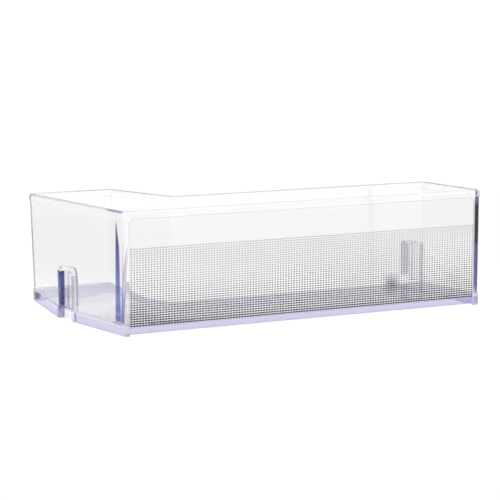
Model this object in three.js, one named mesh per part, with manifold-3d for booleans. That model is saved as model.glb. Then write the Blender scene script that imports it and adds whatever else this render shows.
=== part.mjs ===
// Clear door bin for a refrigerator: an L-shaped moulded tray, the film on its front and the film's print.
// Millimetres, +Z up, the front faces -Y. The origin is the middle of the base.
import * as THREE from 'three';
import { mergeVertices } from 'three/addons/utils/BufferGeometryUtils.js';
import Module from 'manifold-3d';

const wasm = await Module();
wasm.setup();

// ---- driving dimensions ----------------------------------------------------
const length = 426; // along the front, over the rim lip
const legDepth = 208; // front to back of the deep leg
const shelfDepth = 107; // front to back of the shallow shelf
const legWidthBack = 96; // the leg at its back wall
const legWidthStep = 116; // the leg where it leaves the shelf, so that the step wall is slanted
const height = 122;
const wall = 2.4;
const frontWall = 3; // thicker than the other walls, because the film is let into it

// How far each wall comes in for every millimetre below the lip.
const frontDraft = 0.006; // the front and the right end are almost upright
const shelfDraft = 0.0175; // the shelf's back and the step wall
const legDraft = 0.027; // the leg's back and left walls

const frontRadius = 5; // upright corners of the front
const backRadius = 3; // the other outer corners
const stepRadius = 8; // the hollow corner between the leg and the shelf
const innerRadius = 4; // inside the front's corners
const leastRadius = 0.5; // for a corner whose radius would shrink to nothing
const arcSteps = 6; // flats in each rounded corner

const lipHeight = 8;
const lipProud = 0.8; // the lip stands out of the walls by this much
const lipEdge = 0.8; // rounding of the lip's lower and inner edges
const lipFlat = 3; // upright part of the lip's face
const lipRound = 2; // how far the lip's face has come back in at the rim
const lipSteps = 6;

const skirtHeight = 12; // the band that wraps the base
const skirtProud = 1;
const skirtWall = 5;
const floorHeight = 12; // top of the floor above the base
const floorThickness = 2.5;
const rampLength = 62; // the leg's floor rises over this depth to the back wall
const rampRise = 12; // by this much at the back wall

// The upright channels take the lugs of the door, one in the left wall and one in the wing behind the
// shelf's right end. Each starts this far behind the shelf's back, and ends in an arch.
const leftChannel = { behind: 10.5, width: 27, top: 52, corner: 7 };
const wingChannel = { behind: 8, width: 15.5, top: 53, corner: 2 };
const channelDepth = 8; // measured in from the plain wall
const channelWall = 2.4;
const wingWall = 2.4;
const wingInset = 1; // the wing's outer face, in from the plain end wall
const wingFoot = 11; // the wing's lower edge at the shelf's back wall
const wingSlope = 0.27; // the lower edge rises by this much per millimetre to the back

const filmThickness = 0.5;
const filmBand = 6; // height of the band under the film
const filmLeft = 7; // from the tray's left end to the film's pocket
const filmRight = 9; // from its right end
const filmCorner = 6; // rounding of the film's upper corners
const filmClearance = 0.1; // all round the film in its pocket
const footRise = 2; // the front's lower edge is this much above the side skirts

const printThickness = 0.2;
const printGap = 0.1; // from the film's face
const printHeight = 77.4;
const printMargin = 0.4; // from the print to the film's lower and side edges

// ---- sizes that follow -----------------------------------------------------
const reach = 40; // how far cutting solids run past the tray
const overrun = 1; // how far they run past each other
const lipBottom = height - lipHeight;
const rampStart = legDepth - rampLength;
const slope = rampRise / rampLength;
const filmBottom = footRise + filmBand;
const pocketDepth = filmThickness + filmClearance;

// ---- outline of the tray, seen from above ----------------------------------
// Corners run anticlockwise from the front left. Each also describes the wall that leaves it.
const corners = [
  { at: [0, 0], radius: frontRadius, draft: frontDraft, front: true },
  { at: [length, 0], radius: frontRadius, draft: frontDraft },
  { at: [length, shelfDepth], radius: backRadius, draft: shelfDraft },
  { at: [legWidthStep, shelfDepth], radius: stepRadius, draft: shelfDraft, hollow: true },
  { at: [legWidthBack, legDepth], radius: backRadius, draft: legDraft },
  { at: [0, legDepth], radius: backRadius, draft: legDraft },
];

// The outline at height z, moved inwards by inset, and by frontExtra more at the front wall. The front's
// two corners get cornerRadius where it is given.
function outline(z, inset, frontExtra = 0, cornerRadius = null) {
  const count = corners.length;
  const fall = Math.max(0, lipBottom - z);
  const walls = corners.map((corner, i) => {
    const start = new THREE.Vector2(...corner.at);
    const end = new THREE.Vector2(...corners[(i + 1) % count].at);
    const along = end.clone().sub(start).normalize();
    const inward = new THREE.Vector2(-along.y, along.x);
    start.addScaledVector(inward, inset + corner.draft * fall + (corner.front ? frontExtra : 0));
    return { start, along };
  });
  const points = [];
  corners.forEach((corner, i) => {
    const before = walls[(i + count - 1) % count];
    const after = walls[i];
    const meet = crossing(before, after);
    const grown = corner.hollow ? corner.radius + inset : corner.radius - inset;
    const given = cornerRadius !== null && i < 2;
    const radius = given ? cornerRadius : Math.max(grown, leastRadius);
    const turn = Math.abs(before.along.angleTo(after.along));
    const reachBack = radius * Math.tan(turn / 2);
    const side = corner.hollow ? -1 : 1;
    const toCentre = new THREE.Vector2(-before.along.y, before.along.x).multiplyScalar(side * radius);
    const centre = meet.clone().addScaledVector(before.along, -reachBack).add(toCentre);
    const first = Math.atan2(-toCentre.y, -toCentre.x);
    for (let step = 0; step <= arcSteps; step += 1) {
      const angle = first + side * turn * (step / arcSteps);
      points.push([centre.x + radius * Math.cos(angle), centre.y + radius * Math.sin(angle)]);
    }
  });
  return points;
}

// Where two lines, each a start and a direction, cross.
function crossing(a, b) {
  const gap = b.start.clone().sub(a.start);
  const share = gap.cross(b.along) / a.along.cross(b.along);
  return a.start.clone().addScaledVector(a.along, share);
}

// A closed solid through outlines at rising heights. Each level is what outline() takes.
function loft(levels) {
  const rings = levels.map(([z, ...place]) => outline(z, ...place).map(([x, y]) => [x, y, z]));
  const size = rings[0].length;
  const index = [];
  for (let level = 0; level + 1 < rings.length; level += 1) {
    for (let i = 0; i < size; i += 1) {
      const a = level * size + i;
      const b = level * size + ((i + 1) % size);
      index.push(a, b, b + size, a, b + size, a + size);
    }
  }
  const flat = (ring) => ring.map(([x, y]) => new THREE.Vector2(x, y));
  const top = (rings.length - 1) * size;
  const cap = (ring) => THREE.ShapeUtils.triangulateShape(flat(ring), []);
  cap(rings[0]).forEach(([a, b, c]) => index.push(a, c, b));
  cap(rings.at(-1)).forEach(([a, b, c]) => index.push(top + a, top + b, top + c));
  const geometry = new THREE.BufferGeometry();
  geometry.setAttribute('position', new THREE.Float32BufferAttribute(rings.flat(2), 3));
  geometry.setIndex(index);
  return solid(geometry);
}

// The tray's plain form between two heights, moved inwards by inset and by frontExtra more at the front.
function wallForm(bottom, top, inset = 0, frontExtra = 0, cornerRadius = null) {
  const heights = top > lipBottom ? [bottom, lipBottom, top] : [bottom, top];
  return loft(heights.map((z) => [z, lipProud + inset, frontExtra, cornerRadius]));
}

// ---- solids ----------------------------------------------------------------
function solid(geometry) {
  const bare = geometry.clone();
  bare.deleteAttribute('normal');
  bare.deleteAttribute('uv');
  const merged = mergeVertices(bare, 1e-4);
  return new wasm.Manifold(
    new wasm.Mesh({
      numProp: 3,
      vertProperties: new Float32Array(merged.attributes.position.array),
      triVerts: new Uint32Array(merged.index.array),
    }),
  );
}

function box([x0, y0, z0], [x1, y1, z1]) {
  const geometry = new THREE.BoxGeometry(x1 - x0, y1 - y0, z1 - z0);
  geometry.translate((x0 + x1) / 2, (y0 + y1) / 2, (z0 + z1) / 2);
  return solid(geometry);
}

function extrusion(shape, depth) {
  return new THREE.ExtrudeGeometry(shape, { depth, bevelEnabled: false, curveSegments: arcSteps });
}

// A shape drawn in Y and Z, run along X from x0 to x1.
function prism(shape, x0, x1) {
  const geometry = extrusion(shape, x1 - x0);
  const turn = new THREE.Matrix4().makeBasis(
    new THREE.Vector3(0, 1, 0),
    new THREE.Vector3(0, 0, 1),
    new THREE.Vector3(1, 0, 0),
  );
  geometry.applyMatrix4(turn);
  geometry.translate(x0, 0, 0);
  return solid(geometry);
}

const polygon = (points) => new THREE.Shape(points.map(([y, z]) => new THREE.Vector2(y, z)));

// The base's line at a depth behind the front: level, then rising under the back of the leg.
const baseLine = (y) => slope * Math.max(0, y - rampStart);

// Everything between two heights above the base's line. A null upper height means past the rim.
function layer(low, high) {
  const far = legDepth + reach;
  const past = height + reach;
  const upper = high === null
    ? [[far, past], [-reach, past]]
    : [[far, high + baseLine(far)], [rampStart, high], [-reach, high]];
  const shape = polygon([[-reach, low], [rampStart, low], [far, low + baseLine(far)], ...upper]);
  return prism(shape, -reach, length + reach);
}

// A channel's arched outline, open below, grown by margin.
function arch(channel, margin) {
  const near = shelfDepth + channel.behind - margin;
  const far = near + channel.width + 2 * margin;
  const radius = channel.corner + margin;
  const crown = channel.top + margin;
  const shape = new THREE.Shape();
  shape.moveTo(near, -reach);
  shape.lineTo(far, -reach);
  shape.absarc(far - radius, crown - radius, radius, 0, Math.PI / 2, false);
  shape.absarc(near + radius, crown - radius, radius, Math.PI / 2, Math.PI, false);
  return shape;
}

// ---- the tray --------------------------------------------------------------
// A bead: it comes out quickly at its lower edge, stands upright, and rounds back to the rim.
function lip() {
  const start = lipBottom + lipEdge;
  const levels = [[lipBottom, lipProud + lipEdge], [start, 0]];
  const round = height - start - lipFlat;
  for (let step = 0; step <= lipSteps; step += 1) {
    const angle = (Math.PI / 2) * (step / lipSteps);
    levels.push([start + lipFlat + round * Math.sin(angle), lipRound * (1 - Math.cos(angle))]);
  }
  return loft(levels);
}

function skirt() {
  const top = skirtHeight + rampRise + skirtProud;
  const band = wallForm(0, top, -skirtProud).intersect(layer(0, skirtHeight));
  // Across the front the band is only as tall as the strip under the film.
  const front = box([filmLeft, -reach, filmBottom], [length - filmRight, frontWall, top + overrun]);
  return band.subtract(front);
}

function cavity() {
  const inner = lipProud + wall;
  const extra = frontWall - wall;
  const inside = loft([
    [0, inner, extra, innerRadius],
    [lipBottom, inner, extra, innerRadius],
    [height - lipEdge, inner, extra, innerRadius],
    [height, inner - lipEdge, extra, innerRadius],
    [height + lipEdge, inner - lipEdge, extra, innerRadius],
  ]);
  return inside.intersect(layer(floorHeight, null));
}

function hollowBase() {
  const top = floorHeight + rampRise + overrun;
  const inside = wallForm(-overrun, top, skirtWall - skirtProud, 0, innerRadius);
  return inside.intersect(layer(-reach, floorHeight - floorThickness));
}

// A plate seen from the front with rounded upper corners, run from before the front to behind its wall.
function frontPlate(left, right, bottom, top, radius) {
  const shape = new THREE.Shape();
  shape.moveTo(left, bottom);
  shape.lineTo(right, bottom);
  shape.absarc(right - radius, top - radius, radius, 0, Math.PI / 2, false);
  shape.absarc(left + radius, top - radius, radius, Math.PI / 2, Math.PI, false);
  const geometry = extrusion(shape, 2 * reach);
  geometry.rotateX(Math.PI / 2);
  geometry.translate(0, reach, 0);
  return solid(geometry);
}

// The pocket in the front wall that the film lies in.
function pocket() {
  const plate = frontPlate(filmLeft, length - filmRight, filmBottom, lipBottom, filmCorner);
  return plate.subtract(wallForm(0, height, 0, pocketDepth));
}

// The wing behind the shelf's right end: an upright flange with the channel sunk into it.
function wing() {
  const outer = length - lipProud - wingInset;
  const rear = shelfDepth + wingChannel.behind + wingChannel.width + channelWall;
  const start = shelfDepth - wall - lipProud;
  const top = wingChannel.top + channelWall;
  const flange = polygon([
    [start, wingFoot],
    [rear, wingFoot + wingSlope * (rear - start)],
    [rear, top - wingChannel.corner],
    [rear - wingChannel.corner, top],
    [start, top],
  ]);
  const edge = prism(flange, outer - wingWall, outer);
  const sleeve = prism(flange, outer - channelDepth - channelWall, outer)
    .intersect(prism(arch(wingChannel, channelWall), 0, length));
  const slot = prism(arch(wingChannel, 0), outer - channelDepth, length + reach);
  return edge.add(sleeve).subtract(slot);
}

function tray() {
  const form = wallForm(0, height).add(lip()).add(skirt()).subtract(layer(-reach, 0));
  const inner = lipProud + channelDepth;
  const sleeve = prism(arch(leftChannel, channelWall), 0, inner + channelWall).intersect(form);
  const slot = prism(arch(leftChannel, 0), -reach, inner);
  const behindSkirt = skirtWall + lipProud + skirtProud;
  const underFront = box([filmLeft, -reach, -reach], [length - filmRight, behindSkirt, footRise]);
  return form
    .subtract(cavity())
    .subtract(hollowBase())
    .add(sleeve)
    .subtract(slot)
    .subtract(pocket())
    .subtract(underFront)
    .add(wing());
}

// ---- the front film and its print ------------------------------------------
function film() {
  const edge = filmClearance;
  const left = filmLeft + edge;
  const right = length - filmRight - edge;
  const blank = frontPlate(left, right, filmBottom + edge, lipBottom - edge, filmCorner - edge);
  const behind = wallForm(-overrun, height + overrun, 0, filmThickness);
  return blank.intersect(wallForm(0, height)).subtract(behind);
}

function print() {
  const margin = filmClearance + printMargin;
  const right = length - filmRight - margin;
  const bottom = filmBottom + margin;
  const sheet = box([filmLeft + margin, -reach, bottom], [right, frontWall, bottom + printHeight]);
  const face = -printGap - printThickness;
  const behind = wallForm(-overrun, height + overrun, 0, -printGap);
  return sheet.intersect(wallForm(0, height, 0, face)).subtract(behind);
}

// ---- the assembly ----------------------------------------------------------
function mesh(name, body, color, roughness, opacity) {
  const { vertProperties, triVerts, numProp } = body.getMesh();
  const geometry = new THREE.BufferGeometry();
  const position = new Float32Array((vertProperties.length / numProp) * 3);
  for (let i = 0; i < position.length / 3; i += 1) {
    position.set(vertProperties.subarray(i * numProp, i * numProp + 3), i * 3);
  }
  geometry.setAttribute('position', new THREE.BufferAttribute(position, 3));
  geometry.setIndex(new THREE.BufferAttribute(new Uint32Array(triVerts), 1));
  geometry.computeVertexNormals();
  const material = new THREE.MeshStandardMaterial({ color, roughness, opacity, transparent: true });
  const made = new THREE.Mesh(geometry, material);
  made.name = name;
  return made;
}

const bin = new THREE.Group();
bin.name = 'door_bin';
bin.add(mesh('tray_body', tray(), 0xe4e1f5, 0.05, 0.3));
bin.add(mesh('front_film', film(), 0xf0f0f6, 0.05, 0.3));
bin.add(mesh('dot_print', print(), 0x8a8a8e, 0.4, 0.6));
bin.position.set(-length / 2, -legDepth / 2, 0);

export default bin;
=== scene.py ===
"""Clear refrigerator door bin with a dot-printed front, on a light table in a pale studio."""
import math

import bpy
import bmesh
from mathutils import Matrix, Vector


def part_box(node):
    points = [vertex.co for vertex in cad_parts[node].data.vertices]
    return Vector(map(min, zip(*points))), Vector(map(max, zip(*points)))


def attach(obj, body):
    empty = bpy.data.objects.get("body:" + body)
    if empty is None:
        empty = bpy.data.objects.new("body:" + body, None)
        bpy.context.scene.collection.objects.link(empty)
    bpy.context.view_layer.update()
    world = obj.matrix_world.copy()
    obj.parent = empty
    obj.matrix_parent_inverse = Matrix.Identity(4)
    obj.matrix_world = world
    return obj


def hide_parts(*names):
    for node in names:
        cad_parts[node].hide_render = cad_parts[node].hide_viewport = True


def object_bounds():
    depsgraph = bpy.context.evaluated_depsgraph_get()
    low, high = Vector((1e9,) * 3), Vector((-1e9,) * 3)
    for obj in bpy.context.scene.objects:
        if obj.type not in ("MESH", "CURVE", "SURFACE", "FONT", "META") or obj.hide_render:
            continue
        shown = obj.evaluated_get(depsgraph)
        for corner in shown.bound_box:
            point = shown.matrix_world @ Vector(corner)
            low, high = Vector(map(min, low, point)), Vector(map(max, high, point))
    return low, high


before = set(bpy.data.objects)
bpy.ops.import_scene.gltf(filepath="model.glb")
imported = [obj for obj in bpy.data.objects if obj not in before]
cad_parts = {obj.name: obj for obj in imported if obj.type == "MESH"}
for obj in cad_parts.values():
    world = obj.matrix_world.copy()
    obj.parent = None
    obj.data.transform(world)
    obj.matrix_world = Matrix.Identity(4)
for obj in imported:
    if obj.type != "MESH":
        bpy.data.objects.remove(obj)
cad_low, cad_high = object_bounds()
scene = bpy.context.scene

MM = 0.001

# ---- camera: a long lens, a little above the rim, from the front left ---------
CAMERA_PLACE = (-1.28591, -2.12352, 0.36793)
CAMERA_TURN = 31.0315  # degrees from straight along +Y, towards +X
CAMERA_DROP = 7.0606  # degrees below the horizon
LENS = 172.48  # millimetres, as the sensor
SENSOR = 36.0
FARTHEST_SEEN = 50  # metres

AHEAD = Vector((math.sin(math.radians(CAMERA_TURN)), math.cos(math.radians(CAMERA_TURN)), 0))
ASIDE = Vector((AHEAD.y, -AHEAD.x, 0))


def make_camera():
    data = bpy.data.cameras.new("camera")
    data.lens = LENS
    data.sensor_width = SENSOR
    data.clip_end = FARTHEST_SEEN
    camera = bpy.data.objects.new("camera", data)
    camera.location = CAMERA_PLACE
    camera.rotation_euler = (math.radians(90 - CAMERA_DROP), 0, math.radians(-CAMERA_TURN))
    scene.collection.objects.link(camera)
    scene.camera = camera


# ---- small helpers for node trees ---------------------------------------------
def new_material(name):
    """An empty material and its node tree."""
    material = bpy.data.materials.new(name)
    material.use_nodes = True
    material.node_tree.nodes.clear()
    return material, material.node_tree


def add(tree, kind, **values):
    node = tree.nodes.new(kind)
    for key, value in values.items():
        setattr(node, key, value)
    return node


def fade(tree, value, start, end, low=0.0, high=1.0):
    """A smooth step: low where value is at start or before, high where it is at end or past."""
    step = add(tree, "ShaderNodeMapRange", interpolation_type="SMOOTHSTEP")
    step.inputs["From Min"].default_value = start
    step.inputs["From Max"].default_value = end
    step.inputs["To Min"].default_value = low
    step.inputs["To Max"].default_value = high
    tree.links.new(value, step.inputs["Value"])
    return step.outputs["Result"]


def math_node(tree, operation, first, second):
    """The result of two values, each of them a number or a socket."""
    node = add(tree, "ShaderNodeMath", operation=operation)
    for socket, value in zip(node.inputs, (first, second)):
        if isinstance(value, (int, float)):
            socket.default_value = value
        else:
            tree.links.new(value, socket)
    return node.outputs["Value"]


def product(tree, values):
    result = values[0]
    for value in values[1:]:
        result = math_node(tree, "MULTIPLY", result, value)
    return result


def along(tree, vector, direction):
    """How far a vector socket reaches along a direction."""
    node = add(tree, "ShaderNodeVectorMath", operation="DOT_PRODUCT")
    tree.links.new(vector, node.inputs[0])
    node.inputs[1].default_value = direction
    return node.outputs["Value"]


# ---- where the tray's painted shade lies, in millimetres from the bin's own faces ---
UP = (0, 0, 1)
OVER_BASE = "over base"  # height above the base, which rises with the leg's floor
FRONT = cad_low.y
LEFT_END = cad_low.x
RIGHT_END = cad_high.x

SKIRT_TOP = 9.2  # where the skirt meets the floor
FLOOR_TOP = 12.2
RAMP_START = 146  # behind the front, where the leg's floor begins to rise
RAMP_LENGTH = 62
RAMP_RISE = 12
SLOPE = RAMP_RISE / RAMP_LENGTH
SOFTNESS = 0.5  # a painted shade mark fades over this much to each side of its limits


def limits(direction, face, low, high, soft):
    """From low to high along a direction, counted from a face. An end that is None isn't there."""
    ends = (None if end is None else face + end * MM for end in (low, high))
    return direction, *ends, soft * MM


def from_left(low=None, high=None, lean=0, soft=SOFTNESS):
    """Limits to the right of the left end. They come nearer to it by lean for each step upwards."""
    return limits((1, 0, lean), LEFT_END, low, high, soft)


def from_right(low=None, high=None, soft=SOFTNESS):
    """Limits from the right end, below zero because the bin lies to the left of it."""
    return limits((1, 0, 0), RIGHT_END, low, high, soft)


def from_front(low=None, high=None, lean=0, soft=SOFTNESS):
    """Limits behind the front. They come nearer to it by lean for each step upwards."""
    return limits((0, 1, lean), FRONT, low, high, soft)


def from_base(low=None, high=None, soft=SOFTNESS):
    """Limits of height."""
    return limits(UP, 0, low, high, soft)


def over_base(low=None, high=None):
    """Limits of height that rise with the leg's floor."""
    return limits(OVER_BASE, 0, low, high, SOFTNESS)


def reach(tree, place, direction):
    """How far a place lies along a direction, or how high over the rising base."""
    if direction != OVER_BASE:
        return along(tree, place, direction)
    level = along(tree, place, UP)
    rising = along(tree, place, (0, -SLOPE, 1))
    rising = math_node(tree, "ADD", rising, SLOPE * (FRONT + RAMP_START * MM))
    return math_node(tree, "MINIMUM", level, rising)


def zone(tree, place, where):
    """One where all the limits hold, and nothing elsewhere."""
    masks = []
    for direction, low, high, soft in where:
        value = reach(tree, place, direction)
        if low is not None:
            masks.append(fade(tree, value, low - soft, low + soft))
        if high is not None:
            masks.append(fade(tree, value, high + soft, high - soft))
    return product(tree, masks)


# Thick plastic guides and bends light, so in many places the tray looks violet, grey or nearly
# black:
# round the base, in upright lines at the front's corners, at the right end, on the rim's left side,
# at the leg's back, in the left channel with its sleeve, and on the wing. All of this is painted
# shade and painted refraction laid into the clear plastic's colour, as are the dark areas seen
# through the walls on the floor and beside the wing. Each mark says where it lies, and its colour or
# its colours at heights above the base. A mark lies over the ones before it.
FLOOR = [over_base(SKIRT_TOP, FLOOR_TOP), from_left(6.5), from_right(high=-5), from_front(5)]
LEFT_WALL = [from_left(high=6.5), from_base(FLOOR_TOP)]
WING = [from_right(-15), from_front(107)]
SLEEVE_SIDE = [from_front(114.9, 117.7, soft=0.2), from_base(FLOOR_TOP, 46, soft=0.2)]

# Painted shade: every entry below darkens the clear plastic's colour in one zone.
PAINTED_SHADE_MARKS = {
    # painted shade greying the floor slab
    "floor": (FLOOR, (0.52, 0.52, 0.60)),
    # painted shade: the dark area seen through the print at the front left, over the floor
    "floor_at_front_left": (
        [*FLOOR, from_left(high=60, soft=20), from_front(high=70, soft=20)],
        (0.26, 0.26, 0.30),
    ),
    # painted shade beside the wing's foot, darkest low down and fading upwards
    "shade_by_wing": (
        [from_right(-52, -37, soft=7), from_front(25, soft=7), from_base(SKIRT_TOP, soft=7)],
        [
            (0, (0.20, 0.20, 0.25)),
            (13, (0.24, 0.24, 0.29)),
            (18, (0.55, 0.55, 0.59)),
            (26, (1, 1, 1)),
        ],
    ),
    "wing": (WING, (0.95, 0.94, 0.97)),
    "wing_rear": (
        [*WING, from_front(130.3)],
        [(0, (0.60, 0.59, 0.65)), (60, (0.45, 0.45, 0.50))],
    ),
    # painted refraction: a near-black line on the rim at the right end
    "lip_at_right_end": (
        [from_right(-2.5), from_front(1, 9), from_base(112, 121)],
        (0.02, 0.02, 0.05),
    ),
    "back_edge": (
        [
            from_left(high=5.3, lean=0.027),
            from_front(201.5, lean=-0.027),
            from_base(FLOOR_TOP + RAMP_RISE, 119),
        ],
        (0.28, 0.28, 0.31),
    ),
    "left_rim": (
        [from_left(high=3.5), from_front(4), from_base(119.5)],
        (0.78, 0.77, 0.82),
    ),
    "left_rim_at_front": (
        [from_left(high=4), from_front(4, 34), from_base(119.5)],
        (0.30, 0.28, 0.50),
    ),
    "wing_root": (
        [from_right(-4.4), from_front(103, 107.5), from_base(high=54)],
        [(0, (0.20, 0.19, 0.30)), (60, (0.15, 0.14, 0.22))],
    ),
    # painted violet shade round the base, for light guided through the thick skirt and the shade
    # beneath the bin
    "skirt": (
        [over_base(high=SKIRT_TOP)],
        [(0, (0.58, 0.56, 0.77)), (10, (0.66, 0.64, 0.82))],
    ),
    "foot_at_right_end": (
        [from_right(-8), from_front(high=6), from_base(2, 9.5)],
        (0.34, 0.32, 0.66),
    ),
    "sleeve_foot": (
        [from_left(8.4, 14), from_front(113, 149), from_base(high=SKIRT_TOP)],
        (1, 1, 1),
    ),
    "channel_foot": (
        [from_left(high=9.5), from_front(144, 149), from_base(high=9)],
        [(0, (0.30, 0.29, 0.44)), (10, (0.20, 0.19, 0.40))],
    ),
    # painted shade at the leg's back foot
    "back_foot": (
        [from_left(high=10), from_front(206, lean=1), from_base(12.5, 20)],
        [(0, (0.16, 0.16, 0.24)), (30, (0.20, 0.20, 0.28))],
    ),
    "sleeve_side_outer": ([from_left(3.4, 7.5, soft=0.2), *SLEEVE_SIDE], (0.56, 0.56, 0.62)),
    "sleeve_side_inner": ([from_left(9.9, 11.7, soft=0.2), *SLEEVE_SIDE], (0.30, 0.30, 0.38)),
    "sleeve_line": (
        [from_left(7.5, 11.7), from_front(134.5, 137.5), from_base(FLOOR_TOP, 50)],
        (0.66, 0.66, 0.72),
    ),
    # painted refraction: dark violet wedges in the front left corner, seen through the left wall
    "front_corner_wedge": (
        [
            *LEFT_WALL,
            from_front(13),
            from_front(high=24.8, lean=0.064),
            from_front(-1.65, lean=-0.17),
        ],
        [
            (12, (0.32, 0.32, 0.70)),
            (16, (0.08, 0.08, 0.36)),
            (20, (0.28, 0.30, 0.70)),
            (24, (0.10, 0.11, 0.44)),
            (34, (0.20, 0.23, 0.62)),
            (70, (0.11, 0.11, 0.40)),
            (90, (0.06, 0.05, 0.16)),
            (115, (0.14, 0.13, 0.20)),
        ],
    ),
    # painted refraction: a violet line beside the front left corner
    "front_corner_line": (
        [*LEFT_WALL, from_front(high=13.6, lean=0.106), from_front(7.6, lean=0.0434)],
        [
            (12, (0.18, 0.16, 0.50)),
            (36, (0.22, 0.18, 0.48)),
            (46, (0.42, 0.35, 0.52)),
            (76, (0.42, 0.36, 0.50)),
            (95, (0.22, 0.19, 0.25)),
        ],
    ),
    # painted refraction: the right end nearly black, where light bends away
    "right_end": (
        [from_right(-6.5), from_front(high=8), from_base(FLOOR_TOP, 115)],
        [
            (12, (0.20, 0.20, 0.50)),
            (20, (0.02, 0.02, 0.14)),
            (62, (0.02, 0.02, 0.12)),
            (67, (0.001, 0.001, 0.004)),
            (104, (0.001, 0.001, 0.003)),
            (115, (0.10, 0.10, 0.14)),
        ],
    ),
    # painted shade on the left channel's far wall
    "channel": (
        [from_left(high=9.5), from_front(143.8, 147.3), from_base(9, 49)],
        [
            (0, (0.22, 0.23, 0.50)),
            (16, (0.04, 0.04, 0.17)),
            (30, (0.09, 0.09, 0.33)),
            (52, (0.02, 0.02, 0.13)),
        ],
    ),
}


def banded(tree, place, stops):
    """Colours from the base upwards: each stop is a height in millimetres and a colour."""
    top = stops[-1][0]
    rise = add(tree, "ShaderNodeMapRange")
    rise.inputs["From Max"].default_value = top * MM
    tree.links.new(along(tree, place, UP), rise.inputs["Value"])
    ramp = add(tree, "ShaderNodeValToRGB")
    middle = 0.5
    while len(ramp.color_ramp.elements) < len(stops):
        ramp.color_ramp.elements.new(middle)
    for element, (height, color) in zip(ramp.color_ramp.elements, stops):
        element.position = height / top
        element.color = (*color, 1)
    tree.links.new(rise.outputs["Result"], ramp.inputs["Fac"])
    return ramp.outputs["Color"]


def with_painted_shade(tree, place, painted_shade):
    """White plastic with the painted shade and painted refraction marks laid over each other."""
    below = None
    for name, (where, colors) in painted_shade.items():
        mix = add(tree, "ShaderNodeMixRGB", label=name)
        tree.links.new(zone(tree, place, where), mix.inputs["Fac"])
        if below is None:
            mix.inputs["Color1"].default_value = (1, 1, 1, 1)
        else:
            tree.links.new(below, mix.inputs["Color1"])
        if isinstance(colors, list):
            tree.links.new(banded(tree, place, colors), mix.inputs["Color2"])
        else:
            mix.inputs["Color2"].default_value = (*colors, 1)
        below = mix.outputs["Color"]
    return below


# ---- materials -----------------------------------------------------------------
REFRACTION = 1.57  # of clear styrene plastics
VIOLET = (0.60, 0.58, 0.80)  # what a long way through the plastic does to white
DENSITY = 3.0
ROUGHNESS = (0.015, 0.045)  # least and most, as it varies over the surface
FLOW_SCALE = 35.0  # of the faint waves and the uneven polish that moulding leaves
FLOW_DETAIL = 2.0
WAVE_HEIGHT = 0.4 * MM
WAVE_STRENGTH = 0.02

INK_ROUGHNESS = 0.5
INK_COLORS = ((0.012, 0.012, 0.014, 1), (0.03, 0.03, 0.032, 1))  # darkest and lightest
BLOTCH_SCALE = 60.0


def clear_plastic(name, painted_shade):
    """Moulded plastic that refracts, faintly wavy and unevenly polished."""
    material, tree = new_material(name)
    out = add(tree, "ShaderNodeOutputMaterial")
    shader = add(tree, "ShaderNodeBsdfPrincipled")
    shader.inputs["Transmission Weight"].default_value = 1.0
    shader.inputs["IOR"].default_value = REFRACTION
    shader.inputs["Base Color"].default_value = (1, 1, 1, 1)
    place = add(tree, "ShaderNodeTexCoord").outputs["Object"]
    flow = add(tree, "ShaderNodeTexNoise")
    flow.inputs["Scale"].default_value = FLOW_SCALE
    flow.inputs["Detail"].default_value = FLOW_DETAIL
    tree.links.new(place, flow.inputs["Vector"])
    rough = add(tree, "ShaderNodeMapRange")
    rough.inputs["To Min"].default_value, rough.inputs["To Max"].default_value = ROUGHNESS
    tree.links.new(flow.outputs["Fac"], rough.inputs["Value"])
    tree.links.new(rough.outputs["Result"], shader.inputs["Roughness"])
    bump = add(tree, "ShaderNodeBump")
    bump.inputs["Strength"].default_value = WAVE_STRENGTH
    bump.inputs["Distance"].default_value = WAVE_HEIGHT
    tree.links.new(flow.outputs["Fac"], bump.inputs["Height"])
    tree.links.new(bump.outputs["Normal"], shader.inputs["Normal"])
    absorb = add(tree, "ShaderNodeVolumeAbsorption")
    absorb.inputs["Color"].default_value = (*VIOLET, 1)
    absorb.inputs["Density"].default_value = DENSITY
    tree.links.new(absorb.outputs["Volume"], out.inputs["Volume"])
    tree.links.new(shader.outputs["BSDF"], out.inputs["Surface"])
    # the tray's colour carries the painted shade and painted refraction
    if painted_shade:
        tree.links.new(with_painted_shade(tree, place, painted_shade), shader.inputs["Base Color"])
    return material


def ink():
    """Dark grey printing ink, slightly blotchy."""
    material, tree = new_material("ink")
    out = add(tree, "ShaderNodeOutputMaterial")
    shader = add(tree, "ShaderNodeBsdfPrincipled")
    shader.inputs["Roughness"].default_value = INK_ROUGHNESS
    place = add(tree, "ShaderNodeTexCoord")
    blotch = add(tree, "ShaderNodeTexNoise")
    blotch.inputs["Scale"].default_value = BLOTCH_SCALE
    tree.links.new(place.outputs["Object"], blotch.inputs["Vector"])
    ramp = add(tree, "ShaderNodeValToRGB")
    for element, color in zip(ramp.color_ramp.elements, INK_COLORS):
        element.color = color
    tree.links.new(blotch.outputs["Fac"], ramp.inputs["Fac"])
    tree.links.new(ramp.outputs["Color"], shader.inputs["Base Color"])
    tree.links.new(shader.outputs["BSDF"], out.inputs["Surface"])
    return material


# ---- the moulded tray and film ------------------------------------------------
TRAY_BEVEL = 0.25 * MM
FILM_BEVEL = 0.1 * MM
BEVEL_SEGMENTS = 2
BEVEL_ANGLE = 32  # degrees; edges that turn by less stay as they are
SAME_POINT = 0.02 * MM  # points nearer than this are one, so that the faces share their edges


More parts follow.
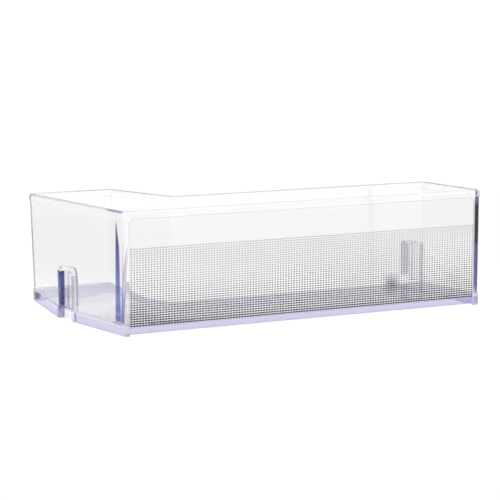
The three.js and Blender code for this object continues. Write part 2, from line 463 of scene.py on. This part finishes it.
def dress(node, material, bevel):
    """The CAD node keeps its shape and gets softened edges and a finished material."""
    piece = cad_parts[node]
    piece.data.materials.clear()
    piece.data.materials.append(material)
    for face in piece.data.polygons:
        face.use_smooth = True
    weld = piece.modifiers.new("weld", "WELD")
    weld.merge_threshold = SAME_POINT
    soft = piece.modifiers.new("edges", "BEVEL")
    soft.width = bevel
    soft.segments = BEVEL_SEGMENTS
    soft.limit_method = "ANGLE"
    soft.angle_limit = math.radians(BEVEL_ANGLE)
    soft.harden_normals = True
    soft.use_clamp_overlap = False
    even = piece.modifiers.new("normals", "WEIGHTED_NORMAL")
    even.keep_sharp = True


# ---- the dots -------------------------------------------------------------------
COLUMN_PITCH = 3.2 * MM
ROW_PITCH = 2.3 * MM
SMALLEST_DOT = 0.27  # half a dot's width as a share of the column pitch, at the top row
LARGEST_DOT = 0.49  # and at the bottom row
DOT_GROWTH = 2  # the power of the way down with which the dots grow
DOT_FLATNESS = 0.75  # a dot's height as a share of its width, each against its own pitch
DOT_SIDES = 8
SHEET = 0.2 * MM  # thickness of the print's sheet, which leans with the front
DOT_DEPTH = SHEET / 4  # behind the sheet's outer face


def dots(low, high):
    """Printed dots in a grid on the print's sheet, small at the top and larger below."""
    columns = round((high.x - low.x) / COLUMN_PITCH)
    rows = round((high.z - low.z) / ROW_PITCH)
    across = (high.x - low.x) / columns
    rise = (high.z - low.z) / rows
    lean = (high.y - low.y - SHEET) / (high.z - low.z)
    turns = [2 * math.pi * (side + 0.5) / DOT_SIDES for side in range(DOT_SIDES)]
    shape = bmesh.new()
    for row in range(rows):
        down = 1 - row / (rows - 1)
        size = SMALLEST_DOT + (LARGEST_DOT - SMALLEST_DOT) * down**DOT_GROWTH
        z = low.z + (row + 0.5) * rise
        y = low.y + DOT_DEPTH + (high.z - z) * lean
        for column in range(columns):
            x = low.x + (column + 0.5) * across
            shape.faces.new([
                shape.verts.new((
                    x + across * size * math.cos(turn),
                    y,
                    z + rise * size * DOT_FLATNESS * math.sin(turn),
                ))
                for turn in turns
            ])
    data = bpy.data.meshes.new("dot_ink")
    shape.to_mesh(data)
    shape.free()
    piece = bpy.data.objects.new("dot_ink", data)
    scene.collection.objects.link(piece)
    return piece


# ---- studio -----------------------------------------------------------------------
WHITE = 1.02  # brightness of the light table and of the tent around it
LEFT_GREY = 0.51  # brightness that the table fades to on the left
RIGHT_GREY = 0.70  # and on the right
TABLE_WIDTH = (0.28, 0.50)  # it fades to grey between these distances aside
TABLE_SPREAD = 0.09  # and is wider by this much per metre further back
TABLE_EDGE = (1.20, 1.46)  # the grey fades back to white between these distances all round
FLOOR_REACH = 1.5
FLOOR_HEIGHT = -0.5 * MM  # just clear of the bin's base


def make_floor():
    """A light table in line with the camera, white in the middle and grey on both sides."""
    material, tree = new_material("light_table")
    out = add(tree, "ShaderNodeOutputMaterial")
    light = add(tree, "ShaderNodeEmission")
    place = add(tree, "ShaderNodeTexCoord").outputs["Object"]
    aside = along(tree, place, ASIDE)
    spread = math_node(tree, "MULTIPLY", along(tree, place, AHEAD), TABLE_SPREAD)
    rightwards = math_node(tree, "SUBTRACT", aside, spread)
    leftwards = math_node(tree, "ADD", aside, spread)
    start, end = TABLE_WIDTH
    right_side = fade(tree, rightwards, start, end, WHITE, RIGHT_GREY)
    left_side = fade(tree, leftwards, -start, -end, WHITE, LEFT_GREY)
    distance = add(tree, "ShaderNodeVectorMath", operation="LENGTH")
    tree.links.new(place, distance.inputs[0])
    far = fade(tree, distance.outputs["Value"], *TABLE_EDGE, 0, WHITE)
    strength = math_node(tree, "MINIMUM", left_side, right_side)
    strength = math_node(tree, "MAXIMUM", strength, far)
    tree.links.new(strength, light.inputs["Strength"])
    tree.links.new(light.outputs["Emission"], out.inputs["Surface"])
    corners = []
    for x, y in ((-1, -1), (1, -1), (1, 1), (-1, 1)):
        corner = (ASIDE * x + AHEAD * y) * FLOOR_REACH
        corners.append((*corner.xy, FLOOR_HEIGHT))
    data = bpy.data.meshes.new("floor")
    data.from_pydata(corners, [], [(0, 1, 2, 3)])
    data.materials.append(material)
    floor = bpy.data.objects.new("floor", data)
    scene.collection.objects.link(floor)


def make_world():
    """White all round, as in a light tent."""
    world = bpy.data.worlds.new("studio")
    scene.world = world
    world.use_nodes = True
    tree = world.node_tree
    tree.nodes.clear()
    out = add(tree, "ShaderNodeOutputWorld")
    back = add(tree, "ShaderNodeBackground")
    back.inputs["Color"].default_value = (1, 1, 1, 1)
    back.inputs["Strength"].default_value = WHITE
    tree.links.new(back.outputs["Background"], out.inputs["Surface"])


BOUNCES = 160  # with fewer, light is lost inside the clear walls and the rims turn dark

scene.view_settings.view_transform = "Standard"
scene.cycles.max_bounces = BOUNCES
scene.cycles.transmission_bounces = BOUNCES
scene.cycles.glossy_bounces = BOUNCES

make_camera()
make_floor()
make_world()
dress("tray_body", clear_plastic("tray_clear", PAINTED_SHADE_MARKS), TRAY_BEVEL)
dress("front_film", clear_plastic("film_clear", {}), FILM_BEVEL)

ink_dots = dots(*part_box("dot_print"))
ink_dots.data.materials.append(ink())
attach(ink_dots, "root")
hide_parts("dot_print")
